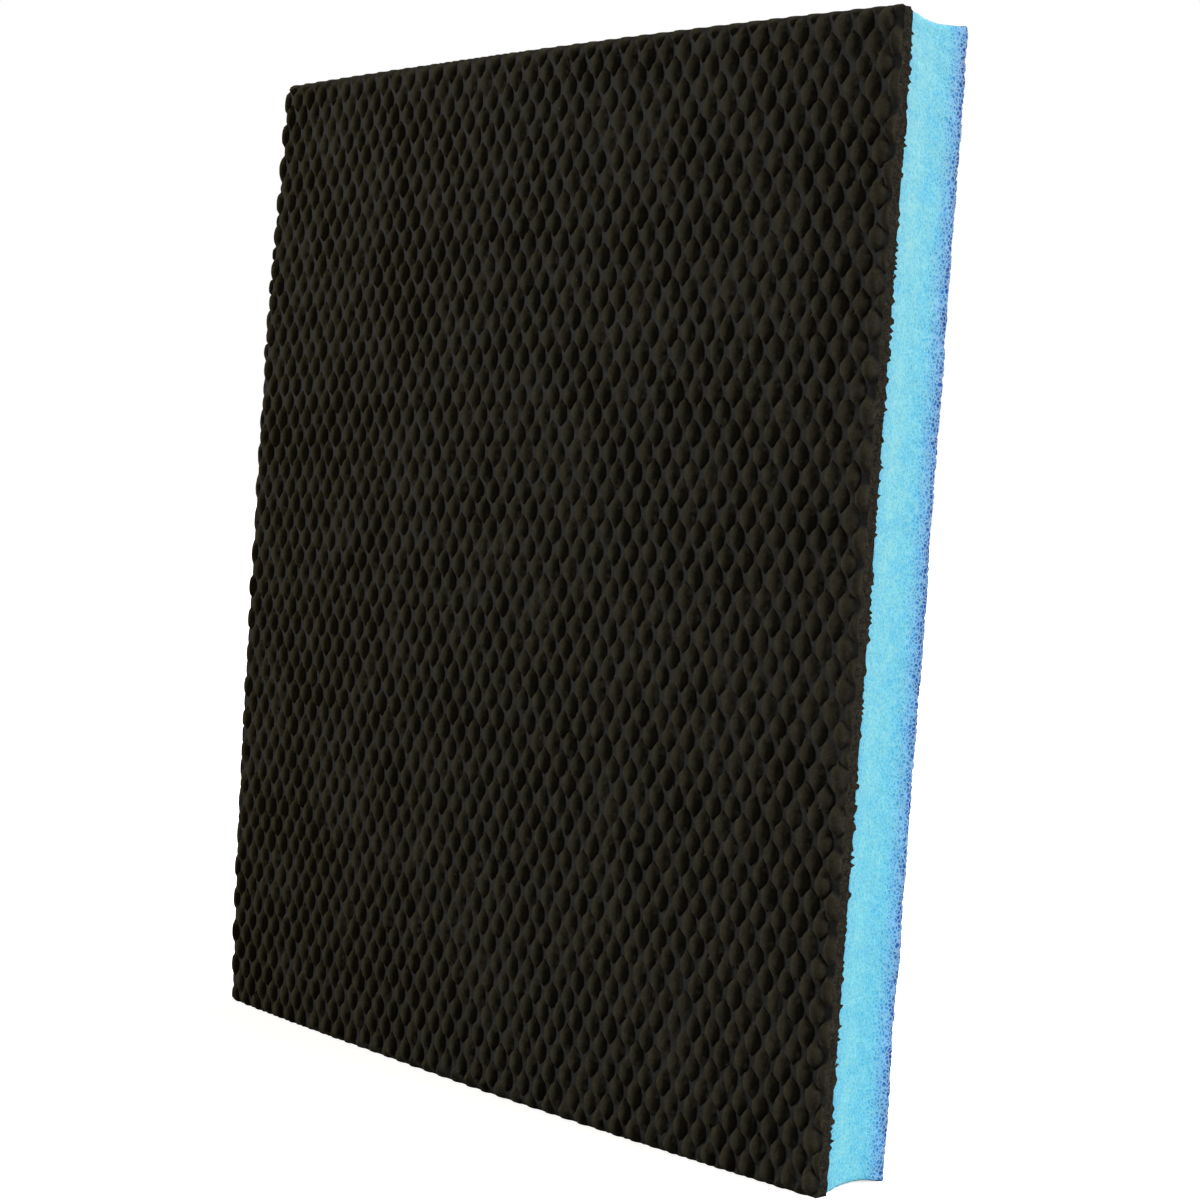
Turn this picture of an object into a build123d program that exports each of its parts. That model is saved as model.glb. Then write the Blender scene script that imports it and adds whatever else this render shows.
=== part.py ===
# Laminated sponge filter pad: a thin black embossed facing foam, a bonding film and a
# thick blue open-cell foam core, standing on its lower cut edge.
#
# Frame: +Z up, the width runs along X, the thickness along Y. The black facing looks
# towards -Y. The origin is the centre of the bounding box's underside.

from build123d import *

import os

# Driving dimensions, in millimetres
pad_width = 212.0
pad_height = 250.0
pad_thickness = 24.5
facing_thickness = 4.4  # black foam, measured over the tops of its embossed bumps
bond_thickness = 0.3  # film of adhesive that joins the two foams
facing_corner_radius = 2.8  # the facing's upper corner on the +X side is worn round
facing_small_radius = 0.8  # its other three corners are almost sharp
core_edge_dish = 1.0  # a cutting die squeezes thick foam, so its cut edges spring back hollow

# Planes through the thickness, from the front of the facing to the back of the core
front_y = -pad_thickness / 2
bond_front_y = front_y + facing_thickness
core_front_y = bond_front_y + bond_thickness
back_y = pad_thickness / 2
core_middle_y = (core_front_y + back_y) / 2
half_width = pad_width / 2


def upright_plane(y):
    """The pad's outline plane at depth y: x along the width, y up the height, drawn from z = 0."""
    return Plane(origin=(0, y, 0), x_dir=(1, 0, 0), z_dir=(0, -1, 0))


os.makedirs("parts", exist_ok=True)

# Black facing foam: a flat sheet with one rounded upper corner
with BuildPart() as facing_sheet:
    with BuildSketch(upright_plane(bond_front_y)) as facing_outline:
        Rectangle(pad_width, pad_height, align=(Align.CENTER, Align.MIN))
        upper_corner = facing_outline.vertices().group_by(Axis.Z)[-1].sort_by(Axis.X)[-1]
        other_corners = facing_outline.vertices() - [upper_corner]
        fillet(upper_corner, facing_corner_radius)
        fillet(other_corners, facing_small_radius)
    extrude(amount=facing_thickness)
facing_sheet.part.label = "facing_sheet"
export_step(facing_sheet.part, "parts/facing_sheet.step")

# Bonding film: covers the whole joint between the foams
with BuildPart() as bond_film:
    with BuildSketch(upright_plane(core_front_y)) as bond_outline:
        Rectangle(pad_width, pad_height, align=(Align.CENTER, Align.MIN))
        fillet(bond_outline.vertices(), facing_small_radius)
    extrude(amount=bond_thickness)
bond_film.part.label = "bond_film"
export_step(bond_film.part, "parts/bond_film.step")

# Blue foam core: its side edges are hollow in plan and its top and bottom edges are
# hollow in side view, deepest half-way through the thickness
with BuildPart() as foam_core:
    with BuildSketch(Plane.XY):
        with BuildLine():
            Line((-half_width, core_front_y), (half_width, core_front_y))
            ThreePointArc(
                (half_width, core_front_y),
                (half_width - core_edge_dish, core_middle_y),
                (half_width, back_y),
            )
            Line((half_width, back_y), (-half_width, back_y))
            ThreePointArc(
                (-half_width, back_y),
                (-half_width + core_edge_dish, core_middle_y),
                (-half_width, core_front_y),
            )
        make_face()
    extrude(amount=pad_height)
    with BuildSketch(Plane.YZ):
        with BuildLine():
            ThreePointArc(
                (core_front_y, 0),
                (core_middle_y, core_edge_dish),
                (back_y, 0),
            )
            Line((back_y, 0), (back_y, pad_height))
            ThreePointArc(
                (back_y, pad_height),
                (core_middle_y, pad_height - core_edge_dish),
                (core_front_y, pad_height),
            )
            Line((core_front_y, pad_height), (core_front_y, 0))
        make_face()
    extrude(amount=half_width, both=True, mode=Mode.INTERSECT)
foam_core.part.label = "foam_core"
export_step(foam_core.part, "parts/foam_core.step")
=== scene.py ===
# Sponge filter pad: a black embossed facing foam laminated to a thick blue open-cell foam,
# standing on its lower cut edge. X is the width, the facing looks towards -Y, +Z is up.
# Everything is in metres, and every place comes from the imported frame.

import math

import bmesh
import bpy
import numpy as np
from mathutils import Matrix, Vector


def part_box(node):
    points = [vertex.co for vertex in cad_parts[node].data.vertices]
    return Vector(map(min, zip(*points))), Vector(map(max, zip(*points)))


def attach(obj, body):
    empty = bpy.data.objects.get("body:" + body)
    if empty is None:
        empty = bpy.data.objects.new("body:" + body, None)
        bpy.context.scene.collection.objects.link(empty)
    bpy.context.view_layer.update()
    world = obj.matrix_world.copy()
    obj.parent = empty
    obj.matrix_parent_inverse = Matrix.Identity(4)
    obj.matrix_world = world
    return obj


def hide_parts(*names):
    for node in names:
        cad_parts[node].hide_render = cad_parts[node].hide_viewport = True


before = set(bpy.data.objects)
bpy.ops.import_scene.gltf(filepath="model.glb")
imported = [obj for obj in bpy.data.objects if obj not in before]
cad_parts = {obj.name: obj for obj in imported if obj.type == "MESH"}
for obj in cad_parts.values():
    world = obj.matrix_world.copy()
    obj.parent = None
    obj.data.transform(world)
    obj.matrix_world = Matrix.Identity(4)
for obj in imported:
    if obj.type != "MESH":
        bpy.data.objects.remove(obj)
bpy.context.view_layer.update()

MM = 0.001

# The planes of the pad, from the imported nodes
facing_low, facing_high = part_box("facing_sheet")
film_low, film_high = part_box("bond_film")
core_low, core_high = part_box("foam_core")
left_x, right_x = facing_low[0], facing_high[0]
low_z, high_z = facing_low[2], facing_high[2]
width = right_x - left_x
height = high_z - low_z
middle_x = (left_x + right_x) / 2
middle_z = (low_z + high_z) / 2
crest_y, bond_y = facing_low[1], facing_high[1]
film_front_y, film_back_y = film_low[1], film_high[1]
core_front_y, core_back_y = core_low[1], core_high[1]
core_depth = core_back_y - core_front_y

# The pad is slightly warped: it arches forward across its width, and a little up its left edge
arch_across = 3.6 * MM
arch_up = 2.5 * MM

# Embossing: almond-shaped domes in staggered rows, with a narrow flat net between them
dome_relief = 1.35 * MM
dome_pitch_x = width / 38.3
dome_pitch_z = height / 27.7
dome_tilt = math.radians(1.7)
dome_origin_x = left_x + 0.5 * MM
dome_origin_z = high_z - 4.7 * MM
dome_half_width = 0.365  # of the pitch across the pad
dome_narrowing = 0.15  # of that width, at the pad's left edge
dome_half_length = 0.355  # of the pitch up the pad
dome_point = 2.3  # more makes the almonds blunter at their ends
dome_crest = 0.50  # more makes the crest fall sooner towards the ends
dome_roundness = 2.7  # more makes a dome boxier across
height_variation = 0.32
width_variation = 0.12
wander_across = 0.05  # of the pitch across the pad
wander_up = 0.04  # of the pitch up the pad
valley_y = crest_y + dome_relief

# The facing's grid follows the embossing
columns_per_half_pitch = 5
rows_per_half_pitch = 4.15

# The upper right corner is worn round at the bond, and less so at the face
worn_across = 1.1 * MM
worn_down = 2.6 * MM
worn_at_face = 0.35
small_corner = 0.8 * MM  # the radius of the facing's other three corners

# The share of a dome's height that is left along the cuts, and how far in from them it is less
kept_at_cut = 0.45
kept_at_left = 0.10
pressed_reach = 1.6 * MM
pressed_left_reach = 2.2 * MM
pressed_left_top = low_z + 0.70 * height

# The face rolls back a little along the cut edges
roll_reach = 1.8 * MM
roll_depth = 0.8 * MM

# The cut strip round the facing: how far back each of its rows lies, from the face to the bond
strip_rows = (0.04, 0.30, 0.62, 1.0)
strip_fine_rough = 0.16 * MM
strip_broad_rough = 0.10 * MM
fringe_length = 1.6 * MM
fringe_spacing = 0.3 * MM
fringe_sparseness = 2.8  # more makes long teeth rarer

# The core's cut edges are dished, rounded towards the back, and set in under the fringe
core_spacing = 0.62 * MM  # between its points, along the cut edges and through its thickness
core_corner = 0.9 * MM
dish = 1.2 * MM
back_round = 0.9 * MM
front_round = 0.3 * MM
under_fringe = 0.15 * MM
under_fringe_reach = 3 * MM
edge_pore_spacing = 0.95 * MM
back_pore_spacing = 1.35 * MM
back_grid = (158, 186)  # points across and up

# Faces that are hidden inside the pad are closed with a coarse grid
hidden_inset = 4 * MM
hidden_grid = (14, 16)  # points across and up


# ---------------------------------------------------------------- seeded noise on points

def hash01(cells, seed):
    """A repeatable number from 0 to 1 for each integer cell."""
    c = cells.astype(np.int64)
    h = np.full(c.shape[:-1], seed * 1013 + 7, dtype=np.uint64)
    for axis, prime in enumerate((73856093, 19349663, 83492791)[: c.shape[-1]]):
        h ^= c[..., axis].astype(np.uint64) * np.uint64(prime)
        h = (h ^ (h >> np.uint64(13))) * np.uint64(1274126177)
        h &= np.uint64(0xFFFFFFFF)
    h ^= h >> np.uint64(16)
    return (h & np.uint64(0xFFFFFF)).astype(float) / 0xFFFFFF


def value_noise(points, cell, seed):
    """Smooth noise from -1 to 1 with blobs of size cell."""
    p = points / cell
    base = np.floor(p)
    f = p - base
    f = f * f * (3 - 2 * f)
    total = 0
    for corner in np.ndindex(*(2,) * points.shape[1]):
        offset = np.array(corner)
        weight = np.prod(np.where(offset == 1, f, 1 - f), axis=1)
        total = total + weight * hash01(base + offset, seed)
    return total * 2 - 1


def pores(points, cell, seed, reach, slope):
    """Pits round one scattered point per cell, from 0 outside to 1 at the bottom."""
    p = points / cell
    base = np.floor(p)
    nearest = np.full(len(p), 9.0)
    for corner in np.ndindex(3, 3, 3):
        c = base + np.array(corner) - 1
        spot = np.stack([hash01(c, seed + k) for k in range(3)], axis=1)
        nearest = np.minimum(nearest, ((c + spot - p) ** 2).sum(axis=1))
    return np.clip((reach - np.sqrt(nearest)) / slope, 0, 1)


# ---------------------------------------------------------------- the pad's shape

def arch(x, z):
    """How far the pad stands forward of its flat CAD place."""
    across = (x - middle_x) / (width / 2)
    up = (z - middle_z) / (height / 2)
    left = (1 - across) / 2
    return arch_across * (1 - across**2) + arch_up * (1 - up**2) * left


def round_corner(x, z, share):
    """Pulls points near the upper right corner in, by a share of its full wear."""
    wide, tall = worn_across * share, worn_down * share
    cx, cz = right_x - wide, high_z - tall
    across, up = np.maximum(x - cx, 0) / wide, np.maximum(z - cz, 0) / tall
    both = (across > 0) & (up > 0)
    length = np.where(both, np.hypot(across, up), 1.0)
    scale = np.where(both, np.maximum(across, up) / length, 1.0)
    return (
        np.where(both, cx + across * scale * wide, x),
        np.where(both, cz + up * scale * tall, z),
    )


def to_lattice(x, z):
    """Places on the face in pitches of the embossing, along its slightly turned rows."""
    c, s = math.cos(dome_tilt), math.sin(dome_tilt)
    dx, dz = x - dome_origin_x, z - dome_origin_z
    return (c * dx + s * dz) / dome_pitch_x, (-s * dx + c * dz) / dome_pitch_z


def domes_near(u, v):
    """For each dome near each point: its middle, and its half width and crest height there.

    The rows are half a pitch apart and staggered. Each dome is an almond: its sides are two arcs
    that meet in a point at its top and bottom."""
    across = np.clip(u * dome_pitch_x / width, 0, 1)
    broadest = dome_half_width * (1 - dome_narrowing * (1 - across))
    for shift in (0.0, 0.5):
        for du in (-1, 0, 1):
            for dv in (-1, 0, 1):
                m = np.round(u - shift) + du
                n = np.round(v - shift) + dv
                cell = np.stack([m * 2 + 2 * shift, n * 2 + 2 * shift], axis=1)
                middle = m + shift + (hash01(cell, 11) - 0.5) * wander_across
                along = v - n - shift - (hash01(cell, 12) - 0.5) * wander_up
                body = np.clip(1 - np.abs(along / dome_half_length) ** dome_point, 0, 1)
                half = broadest * body * (1 + (hash01(cell, 14) - 0.5) * width_variation)
                crest = body**dome_crest * (1 + (hash01(cell, 13) - 0.5) * height_variation)
                yield middle, half, crest


def dome_height(x, z):
    """The embossing's height at each point, from 0 in the net to about 1 on a crest."""
    narrowest = 1e-4
    u, v = to_lattice(x, z)
    best = np.zeros(len(x))
    for middle, half, crest in domes_near(u, v):
        reach = np.minimum(np.abs(u - middle) / np.maximum(half, narrowest), 1)
        best = np.maximum(best, crest * (1 - reach**dome_roundness))
    return best


def snap_to_feet(x, z, furthest):
    """Moves points that lie close to the foot of a dome onto it, so that its crease is sharp."""
    narrowest = 0.03
    u, v = to_lattice(x, z)
    step = np.full(len(x), 1.0)
    for middle, half, _ in domes_near(u, v):
        for side in (-1, 1):
            gap = middle + side * half - u
            step = np.where((half > narrowest) & (np.abs(gap) < np.abs(step)), gap, step)
    step = np.where(np.abs(step) * dome_pitch_x < furthest, step, 0) * dome_pitch_x
    return x + step * math.cos(dome_tilt), z + step * math.sin(dome_tilt)


# ---------------------------------------------------------------- mesh helpers

def new_object(name, bm):
    mesh = bpy.data.meshes.new(name)
    bm.normal_update()
    bm.to_mesh(mesh)
    bm.free()
    mesh.shade_smooth()
    ob = bpy.data.objects.new(name, mesh)
    bpy.context.scene.collection.objects.link(ob)
    return ob


def walk(loop_edges):
    """The vertices of a closed loop of edges, in order and anticlockwise seen from the front."""
    beside = {}
    for e in loop_edges:
        for here, there in (e.verts, reversed(e.verts)):
            beside.setdefault(here, []).append(there)
    order = list(loop_edges[0].verts)
    while True:
        first, second = beside[order[-1]]
        ahead = second if first is order[-2] else first
        if ahead is order[0]:
            break
        order.append(ahead)
    pairs = zip(order, order[1:] + order[:1])
    area = sum(a.co.x * b.co.z - b.co.x * a.co.z for a, b in pairs)
    return order if area > 0 else order[::-1]


def bridge(bm, outer, inner):
    """Joins two anticlockwise loops with triangles, going round the pad's middle in step."""
    def turn(v):
        return math.atan2((v.co.z - middle_z) / height, (v.co.x - middle_x) / width)

    start = turn(inner[0])
    outer_turns = [(turn(v) - start) % math.tau for v in outer]
    first = outer_turns.index(min(outer_turns))
    outer = outer[first:] + outer[:first]
    outer_turns = outer_turns[first:] + outer_turns[:first] + [math.tau]
    inner_turns = [(turn(v) - start) % math.tau for v in inner] + [math.tau]
    i = j = 0
    while i < len(outer) or j < len(inner):
        a, b = outer[i % len(outer)], inner[j % len(inner)]
        if j == len(inner) or (i < len(outer) and outer_turns[i + 1] <= inner_turns[j + 1]):
            i += 1
            bm.faces.new((a, outer[i % len(outer)], b))
        else:
            j += 1
            bm.faces.new((a, inner[j % len(inner)], b))


def cap(bm, loop_edges, y, inset, counts):
    """Closes a loop round the pad's outline, at depth y in the flat pad, with a grid of quads and
    a band of triangles. Gives the grid's vertices."""
    nx, nz = counts
    xs = np.linspace(left_x + inset, right_x - inset, nx)
    zs = np.linspace(low_z + inset, high_z - inset, nz)
    grid = [[bm.verts.new((x, y - arch(x, z), z)) for z in zs] for x in xs]
    for i in range(nx - 1):
        for j in range(nz - 1):
            bm.faces.new((grid[i][j], grid[i + 1][j], grid[i + 1][j + 1], grid[i][j + 1]))
    ring = [grid[i][0] for i in range(nx)]
    ring += [grid[nx - 1][j] for j in range(1, nz)]
    ring += [grid[i][nz - 1] for i in range(nx - 2, -1, -1)]
    ring += [grid[0][j] for j in range(nz - 2, 0, -1)]
    bridge(bm, walk(loop_edges), ring)
    return [v for row in grid for v in row]


def extend_rim(bm, edges):
    """Extrudes a sheet's boundary in place. Gives the new boundary edges, and for each of their
    vertices the one that it was extruded from."""
    old = {v for e in edges for v in e.verts}
    made = bmesh.ops.extrude_edge_only(bm, edges=edges)["geom"]
    new_edges = [g for g in made if isinstance(g, bmesh.types.BMEdge) and g.is_boundary]
    source = {}
    for e in new_edges:
        for v in e.verts:
            beside = [link.other_vert(v) for link in v.link_edges]
            source[v] = next(other for other in beside if other in old)
    return new_edges, source


# ---------------------------------------------------------------- facing foam

def facing_grid():
    """A flat sheet of triangles a little larger than the pad, in columns and rows that follow the
    embossing."""
    step_x = dome_pitch_x / 2 / columns_per_half_pitch
    step_z = dome_pitch_z / 2 / rows_per_half_pitch
    turned_margin = 10 * MM  # beyond the pad on each side, since the rows are turned
    kept_margin = 1.5 * MM
    count_x = int((width + 2 * turned_margin) / step_x)
    count_z = int((height + 2 * turned_margin) / step_z)
    first_x = -int(turned_margin / step_x)
    first_z = -int((height + turned_margin) / step_z)
    i, j = np.meshgrid(np.arange(count_x), np.arange(count_z), indexing="ij")
    odd = (i + first_x) % 2
    u = (i + first_x) * step_x
    v = (j + first_z + 0.5 * odd) * step_z
    c, s = math.cos(dome_tilt), math.sin(dome_tilt)
    x = (dome_origin_x + c * u - s * v).ravel()
    z = (dome_origin_z + s * u + c * v).ravel()
    x, z = snap_to_feet(x, z, furthest=0.5 * step_x)
    points = np.stack([x, np.zeros_like(x), z], axis=-1)

    # each square of the staggered grid becomes two triangles
    a = (i * count_z + j)[:-1, :-1].ravel()
    b = a + count_z
    slant = odd[:-1, :-1].reshape(-1, 1) == 1
    lower = np.where(slant, np.stack([a, b, b + 1], 1), np.stack([a, b, a + 1], 1))
    upper = np.where(slant, np.stack([a, b + 1, a + 1], 1), np.stack([b, b + 1, a + 1], 1))
    faces = np.concatenate([lower, upper])
    inside = (
        (x > left_x - kept_margin)
        & (x < right_x + kept_margin)
        & (z > low_z - kept_margin)
        & (z < high_z + kept_margin)
    )
    faces = faces[inside[faces].all(axis=1)]
    used = np.unique(faces)
    renumber = np.full(len(points), -1)
    renumber[used] = np.arange(len(used))
    mesh = bpy.data.meshes.new("facing_grid")
    mesh.from_pydata(points[used].tolist(), [], renumber[faces].tolist())
    bm = bmesh.new()
    bm.from_mesh(mesh)
    bpy.data.meshes.remove(mesh)
    return bm


def cut_to_outline(bm):
    """Cuts the sheet straight along the pad's four edges, and with short cuts round its corners."""
    corner_steps = 3
    too_close = 0.25 * MM  # rim points that lie closer together become one
    cuts = [
        ((left_x, 0, 0), (-1, 0, 0)),
        ((right_x, 0, 0), (1, 0, 0)),
        ((0, 0, low_z), (0, 0, -1)),
        ((0, 0, high_z), (0, 0, 1)),
    ]
    for side_x, side_z, wide, tall in (
        (1, 1, worn_across * worn_at_face, worn_down * worn_at_face),
        (1, -1, small_corner, small_corner),
        (-1, 1, small_corner, small_corner),
        (-1, -1, small_corner, small_corner),
    ):
        cx = (right_x if side_x > 0 else left_x) - side_x * wide
        cz = (high_z if side_z > 0 else low_z) - side_z * tall
        for k in range(1, corner_steps):
            angle = math.pi / 2 * k / corner_steps
            nx, nz = side_x * math.cos(angle), side_z * math.sin(angle)
            normal = Vector((nx / wide, 0, nz / tall)).normalized()
            cuts.append(((cx + wide * nx, 0, cz + tall * nz), normal))
    for place, normal in cuts:
        bmesh.ops.bisect_plane(
            bm,
            geom=bm.verts[:] + bm.edges[:] + bm.faces[:],
            dist=1e-7,
            plane_co=place,
            plane_no=normal,
            clear_outer=True,
        )
    rim = [v for v in bm.verts if v.is_boundary]
    bmesh.ops.remove_doubles(bm, verts=rim, dist=too_close)


def emboss(bm):
    """Raises the domes, and gives the sheet its arch, its unevenness and its rolled edges."""
    dome_layer = bm.verts.layers.float["dome"]
    flat = np.array([(v.co.x, v.co.z) for v in bm.verts])
    x, z = flat[:, 0], flat[:, 1]

    # the domes were pressed flatter along the cuts, most of all on the left below its upper part
    from_cut = np.minimum(right_x - x, np.minimum(z - low_z, high_z - z))
    from_left = x - left_x + np.maximum(z - pressed_left_top, 0)
    kept = kept_at_cut + (1 - kept_at_cut) * np.clip(from_cut / pressed_reach, 0, 1)
    kept_left = kept_at_left + (1 - kept_at_left) * np.clip(from_left / pressed_left_reach, 0, 1)
    dome = dome_height(x, z) * np.minimum(kept, kept_left)
    # and in places the whole embossing is shallower
    dome *= 1 + 0.14 * value_noise(flat, 13 * MM, 24)

    uneven = 0
    for size, depth, seed in (
        (1.7 * MM, 0.045 * MM, 21),
        (0.8 * MM, 0.03 * MM, 22),
        (38 * MM, 0.25 * MM, 23),
    ):
        uneven = uneven + depth * value_noise(flat, size, seed)
    edge = np.minimum(from_cut, x - left_x)
    roll = roll_depth * np.clip(1 - edge / roll_reach, 0, 1) ** 2
    y = valley_y - arch(x, z) - dome * dome_relief - uneven + roll
    for v, depth, share in zip(bm.verts, y, dome):
        v.co.y = depth
        v[dome_layer] = share


def cut_strip(bm):
    """Leads the cut edge back to the bond, row by row, and ends it in a ragged fringe that hangs
    over the core. Gives the strip's last edges."""
    cut_layer = bm.verts.layers.float["cut"]
    at_edge = 0.3 * MM  # rim points this close to a side of the outline belong to that side
    edges = [e for e in bm.edges if e.is_boundary]
    rim_place = {v: tuple(v.co) for e in edges for v in e.verts}
    for number, part in enumerate(strip_rows):
        edges, source = extend_rim(bm, edges)
        rim_place = {v: rim_place[old] for v, old in source.items()}
        places = np.array(list(rim_place.values()))
        x, y, z = places.T
        out_x = np.where(x > right_x - at_edge, 1, np.where(x < left_x + at_edge, -1, 0))
        out_z = np.where(z > high_z - at_edge, 1, np.where(z < low_z + at_edge, -1, 0))
        rough = strip_fine_rough * value_noise(places + number, 0.9 * MM, 31 + number)
        rough += strip_broad_rough * value_noise(places + number, 2.3 * MM, 41)
        depth = y + (bond_y - arch(x, z) - y) * part
        if number == 0:
            rough *= 0.3
        elif number == len(strip_rows) - 2:
            rough = np.maximum(rough, -0.05 * MM)
        elif number == len(strip_rows) - 1:
            tooth = hash01(np.round(places / fringe_spacing), 51) ** fringe_sparseness
            patch = 0.8 + 0.6 * value_noise(places, 7 * MM, 52)
            depth = depth + 0.05 * MM + fringe_length * tooth * patch
            rough = strip_fine_rough + 0.4 * rough
        # below, the strip may only go inwards, since the pad stands on it
        x = x + out_x * rough
        z = z + out_z * np.where(out_z > 0, rough, np.minimum(rough, 0))
        x, z = round_corner(x, z, worn_at_face + (1 - worn_at_face) * part)
        for v, *place in zip(rim_place, x, depth, z):
            v.co = place
            v[cut_layer] = 1
    return edges


def tuck_behind(bm, edges):
    """Leads the fringe in behind, onto the bond plane, and closes the sheet there."""
    inward = 0.5 * MM
    _, source = extend_rim(bm, edges)
    for v in source:
        v.co.x = min(max(v.co.x, left_x + inward), right_x - inward)
        v.co.z = min(max(v.co.z, low_z + inward), high_z - inward)
        v.co.y = bond_y - arch(v.co.x, v.co.z)
    # the points that met at the corners become one
    bmesh.ops.remove_doubles(bm, verts=list(source), dist=0.01 * MM)
    last_edges = [e for e in bm.edges if e.is_boundary]
    cap(bm, last_edges, bond_y, hidden_inset, hidden_grid)


def make_facing():
    """The embossed sheet. Its attributes tell the material where it is cut and where it is domed."""
    crease_angle = math.radians(46)
    bm = facing_grid()
    for name in ("cut", "dome"):
        bm.verts.layers.float.new(name)
    cut_to_outline(bm)
    emboss(bm)
    tuck_behind(bm, cut_strip(bm))
    bmesh.ops.recalc_face_normals(bm, faces=bm.faces[:])
    ob = new_object("facing", bm)
    ob.data.set_sharp_from_angle(angle=crease_angle)
    return ob


# ---------------------------------------------------------------- foam core and film

def outline(spacing, radius):
    """Points round the pad's outline with their outward directions, from its lower left corner."""
    centres = (
        (left_x + radius, low_z + radius),
        (right_x - radius, low_z + radius),
        (right_x - radius, high_z - radius),
        (left_x + radius, high_z - radius),
    )
    turns = max(2, int(radius * math.pi / 2 / spacing) + 1)
    points, normals = [], []
    for k, (x, z) in enumerate(centres):
        start = math.pi + k * math.pi / 2
        for angle in np.linspace(start, start + math.pi / 2, turns + 1):
            normal = (math.cos(angle), math.sin(angle))
            points.append((x + radius * normal[0], z + radius * normal[1]))
            normals.append(normal)
        # the straight run up to the next corner
        next_x, next_z = centres[(k + 1) % 4]
        run_x, run_z = next_x - x, next_z - z
        from_x, from_z = points[-1]
        count = int(math.hypot(run_x, run_z) / spacing)
        for share in np.arange(1, count) / count:
            points.append((from_x + run_x * share, from_z + run_z * share))
            normals.append(normals[-1])
    return np.array(points), np.array(normals)


def tube(bm, rows):
    """Joins rows of points, each a closed loop, into a band of quads. Gives the last row's
    vertices, and the edges of the first and of the last row."""
    loops = [[bm.verts.new(p) for p in row] for row in rows]
    for a, b in zip(loops, loops[1:]):
        for k in range(len(a)):
            bm.faces.new((a[k - 1], a[k], b[k], b[k - 1]))
    ends = [
        [bm.edges.get((p, q)) for p, q in zip(loop, loop[1:] + loop[:1])]
        for loop in (loops[0], loops[-1])
    ]
    return loops[-1], ends


def core_pull(t):
    """How far the core's cut edge lies inside the outline, at a share t of its thickness."""
    pull = dish * (1 - (2 * t - 1) ** 2)
    from_back = core_depth * (1 - t)
    from_front = core_depth * t
    if from_back < back_round:
        pull += back_round * (1 - math.sqrt(max(0, 1 - (1 - from_back / back_round) ** 2)))
    if from_front < front_round:
        pull += front_round * (1 - from_front / front_round)
    return pull + under_fringe * max(0, 1 - from_front / under_fringe_reach)


def core_edge_rows():
    """The core's cut edges from front to back, with open pores that grow deeper and more ragged
    towards the back."""
    points, normals = outline(core_spacing, core_corner)
    shares = np.linspace(0, 1, int(core_depth / core_spacing) + 1)
    rows = np.empty((len(shares), len(points), 3))
    for row, t in zip(rows, shares):
        pull = core_pull(t)
        x = middle_x + (points[:, 0] - middle_x) * (1 - pull / (width / 2))
        z = middle_z + (points[:, 1] - middle_z) * (1 - pull / (height / 2))
        corner_wear = 1.25 * (1 - t) ** 1.2 + 0.05
        row[:, 0], row[:, 2] = round_corner(x, z, corner_wear)
        row[:, 1] = core_front_y + core_depth * t
    flat = rows.reshape(-1, 3)
    t = (flat[:, 1] - core_front_y) / core_depth
    pore_depth = (0.20 + 0.18 * t**4) * MM
    fine_depth = (0.35 + 1.2 * t**3) * 0.16 * MM
    broad_depth = (0.3 + t**3) * 0.22 * MM
    inwards = pore_depth * pores(flat, edge_pore_spacing, seed=61, reach=0.52, slope=0.35)
    inwards += fine_depth * value_noise(flat, 2.6 * MM, 64)
    inwards += broad_depth * value_noise(flat, 7 * MM, 65)
    out_x, out_z = np.tile(normals, (len(rows), 1)).T
    flat[:, 0] -= out_x * inwards
    # the lower edge may only go inwards, since the pad stands on it
    flat[:, 2] -= out_z * np.where(out_z < -0.5, np.maximum(inwards, 0), inwards)
    flat[:, 1] -= arch(flat[:, 0], flat[:, 2])
    return rows


def make_core():
    """The blue foam. Its attribute tells the material how far through the foam a point lies."""
    back_inset = back_round + 1.4 * MM
    pore_depth = 0.30 * MM
    set_in = 0.06 * MM
    bm = bmesh.new()
    rim, (front_edges, back_edges) = tube(bm, core_edge_rows())
    cap(bm, front_edges, core_front_y, hidden_inset, hidden_grid)
    back = rim + cap(bm, back_edges, core_back_y, back_inset, back_grid)
    place = np.array([v.co[:] for v in back])
    recess = set_in + pore_depth * pores(place, back_pore_spacing, seed=71, reach=0.55, slope=0.4)
    recess += 0.060 * MM * value_noise(place, 3.1 * MM, 72)
    recess += 0.096 * MM * value_noise(place, 14 * MM, 73)
    for v, depth in zip(back, recess):
        v.co.y -= depth
    bmesh.ops.recalc_face_normals(bm, faces=bm.faces[:])
    co = np.array([v.co[:] for v in bm.verts])
    through = (co[:, 1] + arch(co[:, 0], co[:, 2]) - core_front_y) / core_depth
    ob = new_object("core", bm)
    layer = ob.data.attributes.new("through", "FLOAT", "POINT")
    layer.data.foreach_set("value", np.clip(through, 0, 1).astype(np.float32))
    return ob


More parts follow.
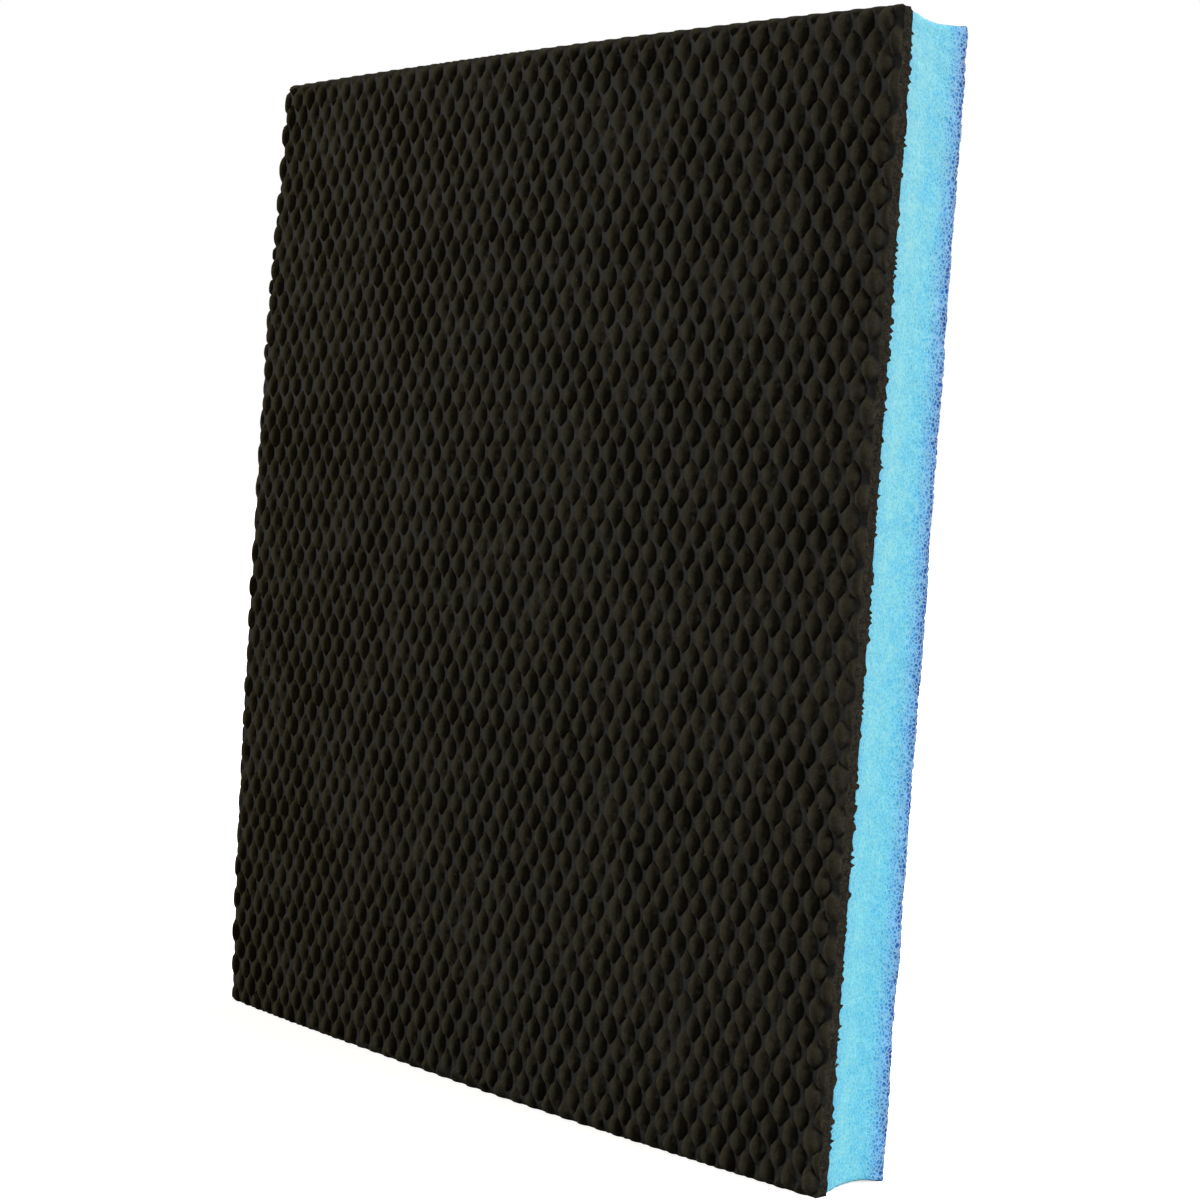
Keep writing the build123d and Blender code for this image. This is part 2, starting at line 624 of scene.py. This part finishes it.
def make_film():
    """The adhesive film, squeezed out very slightly along the cut edges."""
    spacing = 1.1 * MM
    points, normals = outline(spacing, small_corner)
    rows = []
    for part, squeeze in (
        (0.0, -0.25 * MM),
        (0.15, 0.0),
        (0.5, 0.05 * MM),
        (0.85, 0.0),
        (1.0, -0.25 * MM),
    ):
        squeeze_z = np.where(normals[:, 1] < 0, min(squeeze, 0), squeeze)
        x = points[:, 0] + normals[:, 0] * squeeze
        z = points[:, 1] + normals[:, 1] * squeeze_z
        x, z = round_corner(x, z, 1.0)
        y = film_front_y + (film_back_y - film_front_y) * part - arch(x, z)
        rows.append(np.stack([x, y, z], axis=1))
    bm = bmesh.new()
    _, (front_edges, back_edges) = tube(bm, rows)
    cap(bm, front_edges, film_front_y, hidden_inset, hidden_grid)
    cap(bm, back_edges, film_back_y, hidden_inset, hidden_grid)
    bmesh.ops.recalc_face_normals(bm, faces=bm.faces[:])
    return new_object("film", bm)


# ---------------------------------------------------------------- materials

class Nodes:
    """A short way to write node trees."""

    def __init__(self, name):
        self.material = bpy.data.materials.new(name)
        self.material.use_nodes = True
        self.tree = self.material.node_tree
        self.tree.nodes.clear()
        out = self.add("ShaderNodeOutputMaterial")
        self.shader = self.add("ShaderNodeBsdfPrincipled")
        self.link(self.shader.outputs[0], out.inputs["Surface"])

    def add(self, kind, **settings):
        node = self.tree.nodes.new(kind)
        for key, value in settings.items():
            setattr(node, key, value)
        return node

    def link(self, a, b):
        self.tree.links.new(a, b)

    def feed(self, socket, value):
        """Gives a socket a link, a colour or a plain number."""
        if isinstance(value, bpy.types.NodeSocket):
            self.link(value, socket)
        elif hasattr(value, "__len__"):
            socket.default_value = (*value, 1)
        else:
            socket.default_value = value

    def place(self):
        return self.add("ShaderNodeTexCoord").outputs["Object"]

    def along(self, axis, start, end):
        """0 to 1 along the pad's X or Z axis."""
        split = self.add("ShaderNodeSeparateXYZ")
        self.link(self.place(), split.inputs[0])
        from_start = self.math("SUBTRACT", split.outputs[axis], start)
        return self.math("DIVIDE", from_start, end - start)

    def noise(self, size, detail=3.0, roughness=0.5):
        node = self.add("ShaderNodeTexNoise")
        node.inputs["Scale"].default_value = 1 / size
        node.inputs["Detail"].default_value = detail
        node.inputs["Roughness"].default_value = roughness
        self.link(self.place(), node.inputs["Vector"])
        return node.outputs["Fac"]

    def voronoi(self, size, feature="F1", output="Distance", at=None):
        node = self.add("ShaderNodeTexVoronoi", feature=feature)
        node.inputs["Scale"].default_value = 1 / size
        self.link(at or self.place(), node.inputs["Vector"])
        return node.outputs[output]

    def ramp(self, value, stops):
        node = self.add("ShaderNodeValToRGB")
        band = node.color_ramp
        while len(band.elements) < len(stops):
            band.elements.new(0.5)
        for element, (position, colour) in zip(band.elements, stops):
            element.position = position
            if not hasattr(colour, "__len__"):
                colour = (colour,) * 3
            element.color = (*colour, 1)
        self.link(value, node.inputs["Fac"])
        return node.outputs["Color"]

    def mix(self, amount, a, b, blend="MIX"):
        node = self.add("ShaderNodeMix", data_type="RGBA", blend_type=blend)
        self.feed(node.inputs[0], amount)
        self.feed(node.inputs[6], a)
        self.feed(node.inputs[7], b)
        return node.outputs[2]

    def times(self, a, b):
        return self.mix(1.0, a, b, "MULTIPLY")

    def math(self, operation, a, b):
        node = self.add("ShaderNodeMath", operation=operation)
        self.feed(node.inputs[0], a)
        self.feed(node.inputs[1], b)
        return node.outputs[0]

    def attribute(self, name):
        return self.add("ShaderNodeAttribute", attribute_name=name).outputs["Fac"]

    def bump(self, relief, depth, strength, normal=None):
        node = self.add("ShaderNodeBump")
        node.inputs["Distance"].default_value = depth
        self.feed(node.inputs["Strength"], strength)
        self.link(relief, node.inputs["Height"])
        if normal:
            self.link(normal, node.inputs["Normal"])
        return node.outputs["Normal"]

    def set(self, **values):
        for key, value in values.items():
            self.feed(self.shader.inputs[key.replace("_", " ")], value)


def facing_material():
    n = Nodes("facing_foam")
    broad = n.noise(14 * MM, 4)
    fine = n.noise(0.5 * MM, 3, 0.6)
    blotch = n.noise(2.2 * MM, 3, 0.6)
    cut = n.attribute("cut")
    dome = n.ramp(n.attribute("dome"), ((0.02, 0.0), (0.30, 1.0)))

    # matt warm black domes on a pressed net that is greyer; painted light makes the domes lighter
    # and browner towards the left, where the light falls on them more fully
    tops = n.mix(broad, (0.0252, 0.0226, 0.0142), (0.0345, 0.0310, 0.0200))
    # painted light across the pad: the domes' tint is lightest and warmest on the left
    painted_light_left = (1.12, 1.02, 0.80)
    painted_light_middle = (1.00, 0.99, 0.93)
    painted_light_right = (1.00, 1.01, 1.04)
    across = n.along("X", left_x, right_x)
    tops = n.times(tops, n.ramp(across, ((0.0, painted_light_left), (0.45, painted_light_middle), (1.0, painted_light_right))))
    net = n.mix(broad, (0.0108, 0.0110, 0.0099), (0.0145, 0.0146, 0.0132))
    skin = n.mix(dome, net, tops)
    skin = n.times(skin, n.ramp(fine, ((0.30, 0.70), (0.70, 1.25))))
    skin = n.times(skin, n.ramp(blotch, ((0.30, 0.75), (0.70, 1.25))))

    # a few specks of dust
    dust_spacing = 3.2 * MM
    near_speck = n.math("LESS_THAN", n.voronoi(dust_spacing), 0.05)
    chosen = n.math("GREATER_THAN", n.voronoi(dust_spacing, output="Color"), 0.80)
    skin = n.mix(n.math("MULTIPLY", near_speck, chosen), skin, (0.10, 0.095, 0.085))

    # cut faces show the open inside of the foam, crushed here and there, with painted shade deep in
    # its open cells
    pore_shade, wall = (0.004, 0.0036, 0.0030), (0.025, 0.0225, 0.0172)
    inside = n.ramp(n.voronoi(0.30 * MM), ((0.20, pore_shade), (0.62, wall)))
    crushed = n.noise(1.1 * MM, 4, 0.7)
    inside = n.times(inside, n.ramp(crushed, ((0.35, 0.60), (0.65, 1.55))))

    # the net has a slight sheen, and the cut faces have none
    rough = n.mix(dome, (0.68, 0.68, 0.68), n.ramp(fine, ((0.3, 0.78), (0.7, 0.98))))
    skin_shine = n.ramp(dome, ((0.0, 0.11), (1.0, 0.06)))
    shine = n.math("MULTIPLY", skin_shine, n.math("SUBTRACT", 1.0, cut))
    n.set(Base_Color=n.mix(cut, skin, inside), Roughness=rough, Specular_IOR_Level=shine)
    small = n.bump(fine, 0.05 * MM, 0.9)
    crease = n.noise(1.3 * MM, 3, 0.6)
    n.set(Normal=n.bump(crease, 0.14 * MM, 0.9, small))
    return n.material


def core_material():
    n = Nodes("core_foam")
    drift = n.noise(4 * MM, 4, 0.6)
    uneven = n.math("MULTIPLY", n.math("SUBTRACT", drift, 0.5), 0.16)
    level = n.math("ADD", n.attribute("through"), uneven)

    # pale blue through most of the foam; towards the back it is painted in shade, deepening to royal
    # blue where the rear edge turns away from the light
    bulk = n.ramp(
        level,
        (
            (0.00, (0.105, 0.400, 0.580)),
            (0.25, (0.145, 0.465, 0.590)),
            (0.70, (0.108, 0.455, 0.650)),
            (0.87, (0.084, 0.315, 0.640)),
            (0.98, (0.026, 0.070, 0.320)),
        ),
    )
    # mottled finely and broadly, and a little deeper towards the bottom of the pad
    cloud = n.noise(0.9 * MM, 4, 0.75)
    patches = n.noise(5 * MM, 3, 0.6)
    up = n.along("Z", low_z, high_z)
    bulk = n.times(bulk, n.ramp(cloud, ((0.34, (0.66, 0.90, 1.0)), (0.66, (1.46, 1.12, 0.97)))))
    bulk = n.times(bulk, n.ramp(up, ((0.2, (0.78, 0.97, 1.0)), (0.9, (1.06, 1.01, 0.99)))))
    bulk = n.times(bulk, n.ramp(patches, ((0.35, (0.82, 0.95, 1.0)), (0.65, (1.20, 1.06, 0.98)))))

    # open cells: pale struts round holes painted dark with the shade inside them, washed out in the
    # bulk and plain at the back
    wander = n.mix(0.6 * MM, (0, 0, 0), n.noise(1.2 * MM, 2))
    moved = n.add("ShaderNodeVectorMath", operation="ADD")
    n.link(n.place(), moved.inputs[0])
    n.link(wander, moved.inputs[1])
    wall = n.voronoi(0.95 * MM, feature="DISTANCE_TO_EDGE", at=moved.outputs[0])
    hole = n.ramp(wall, ((0.12, 0.0), (0.40, 1.0)))
    strut = n.ramp(wall, ((0.03, 1.0), (0.16, 0.0)))
    contrast = n.ramp(level, ((0.0, 0.05), (0.60, 0.05), (0.80, 0.40), (0.93, 0.95)))
    strut_contrast = n.ramp(contrast, ((0.1, 0.35), (0.9, 0.75)))
    hole_shade = n.times(bulk, (0.20, 0.30, 0.58))
    pale = n.mix(0.55, bulk, (0.42, 0.62, 0.68))
    colour = n.mix(n.times(hole, contrast), bulk, hole_shade)
    colour = n.mix(n.times(strut, strut_contrast), colour, pale)

    # single cut struts catch the light
    fine = n.noise(0.42 * MM, 3, 0.65)
    fleck = n.ramp(fine, ((0.56, 0.0), (0.74, 0.36)))
    colour = n.mix(fleck, colour, (0.36, 0.62, 0.60))
    # painted shade between the struts, where the same fine noise is low
    colour = n.times(colour, n.ramp(fine, ((0.28, 0.86), (0.5, 1.0))))
    n.set(Base_Color=colour, Roughness=0.85, Specular_IOR_Level=0.2)
    cell = n.bump(hole, -0.30 * MM, n.ramp(level, ((0.6, 0.15), (0.95, 0.7))))
    n.set(Normal=n.bump(fine, 0.14 * MM, 0.6, cell))
    return n.material


def film_material():
    n = Nodes("bond_film_glue")
    cloud = n.noise(1.5 * MM, 3)
    colour = n.mix(cloud, (0.10, 0.30, 0.46), (0.22, 0.50, 0.64))
    n.set(Base_Color=colour, Roughness=0.45, Specular_IOR_Level=0.4)
    n.set(Normal=n.bump(cloud, 0.06 * MM, 0.6))
    return n.material


def floor_material():
    """A white light table. What it throws back at the pad is held down, as flags would do."""
    n = Nodes("studio_floor")
    seen = n.mix(n.noise(0.4, 2), (0.90, 0.90, 0.90), (0.93, 0.93, 0.93))
    thrown_back = (0.14, 0.14, 0.14)
    glow = 0.75
    by_camera = n.add("ShaderNodeLightPath").outputs["Is Camera Ray"]
    n.set(Base_Color=n.mix(by_camera, thrown_back, seen), Roughness=0.9)
    n.set(Specular_IOR_Level=0.05, Emission_Color=(1.0, 1.0, 1.0))
    n.set(Emission_Strength=n.math("MULTIPLY", by_camera, glow))
    return n.material


# ---------------------------------------------------------------- the pad

facing = make_facing()
core = make_core()
film = make_film()
facing.data.materials.append(facing_material())
core.data.materials.append(core_material())
film.data.materials.append(film_material())
for piece, node, slot_name in (
    (facing, "facing_sheet", "facing_foam"),
    (core, "foam_core", "core_foam"),
    (film, "bond_film", "bond_adhesive"),
):
    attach(piece, "root")
    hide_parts(node)


# ---------------------------------------------------------------- studio

def direction(azimuth, elevation):
    """Towards a place at an azimuth (0 is in front, 90 is to the right) and an elevation."""
    a, e = math.radians(azimuth), math.radians(elevation)
    return Vector((math.sin(a) * math.cos(e), -math.cos(a) * math.cos(e), math.sin(e)))


def make_floor():
    size = 30.0
    bm = bmesh.new()
    bmesh.ops.create_grid(bm, x_segments=2, y_segments=2, size=size / 2)
    ob = new_object("floor", bm)
    ob.location = (0, 0, low_z)
    ob.data.materials.append(floor_material())
    return ob


def make_world():
    """A plain white backdrop for the camera, and a dim warm glow for the pad."""
    world = bpy.data.worlds.new("studio")
    world.use_nodes = True
    tree = world.node_tree
    tree.nodes.clear()
    path = tree.nodes.new("ShaderNodeLightPath")
    choose = tree.nodes.new("ShaderNodeMixShader")
    world_out = tree.nodes.new("ShaderNodeOutputWorld")
    tree.links.new(path.outputs["Is Camera Ray"], choose.inputs[0])
    for socket, colour, strength in (
        (choose.inputs[1], (1.0, 0.87, 0.68, 1), 0.17),
        (choose.inputs[2], (1.0, 1.0, 1.0, 1), 1.0),
    ):
        background = tree.nodes.new("ShaderNodeBackground")
        background.inputs["Color"].default_value = colour
        background.inputs["Strength"].default_value = strength
        tree.links.new(background.outputs[0], socket)
    tree.links.new(choose.outputs[0], world_out.inputs["Surface"])
    return world


def sun(name, azimuth, elevation, strength, softness, colour=(1, 1, 1)):
    """A soft distant light."""
    lamp = bpy.data.lights.new(name, "SUN")
    lamp.energy = strength
    lamp.angle = math.radians(softness)
    lamp.color = colour
    ob = bpy.data.objects.new(name, lamp)
    bpy.context.scene.collection.objects.link(ob)
    ob.rotation_mode = "QUATERNION"
    ob.rotation_quaternion = direction(azimuth, elevation).to_track_quat("Z", "Y")


floor = make_floor()
bpy.context.scene.world = make_world()
sun("key_left", -45, 12, 2.75, 12, (1.0, 0.99, 0.96))
sun("side_right", 112, 24, 4.55, 36)
sun("overhead", 180, 78, 0.9, 16)


# ---------------------------------------------------------------- camera

def make_camera():
    """Where the photograph was taken from: to the right of the facing, low and close."""
    stand_azimuth, stand_elevation, stand_distance = 47.00, 1.74, 0.5703
    look_azimuth, look_elevation, look_roll = 45.78, 2.29, 3.95
    centre = Vector((middle_x, (crest_y + core_back_y) / 2, middle_z))
    data = bpy.data.cameras.new("camera")
    data.sensor_width = 36.0
    data.lens = 70.1
    data.clip_start = 0.01
    data.clip_end = 100
    ob = bpy.data.objects.new("camera", data)
    bpy.context.scene.collection.objects.link(ob)
    ob.location = centre + direction(stand_azimuth, stand_elevation) * stand_distance
    look = direction(look_azimuth, look_elevation).to_track_quat("Z", "Y")
    roll = Matrix.Rotation(math.radians(look_roll), 3, "Z").to_quaternion()
    ob.rotation_mode = "QUATERNION"
    ob.rotation_quaternion = look @ roll
    return ob


bpy.context.scene.camera = make_camera()
bpy.context.scene.view_settings.view_transform = "Standard"
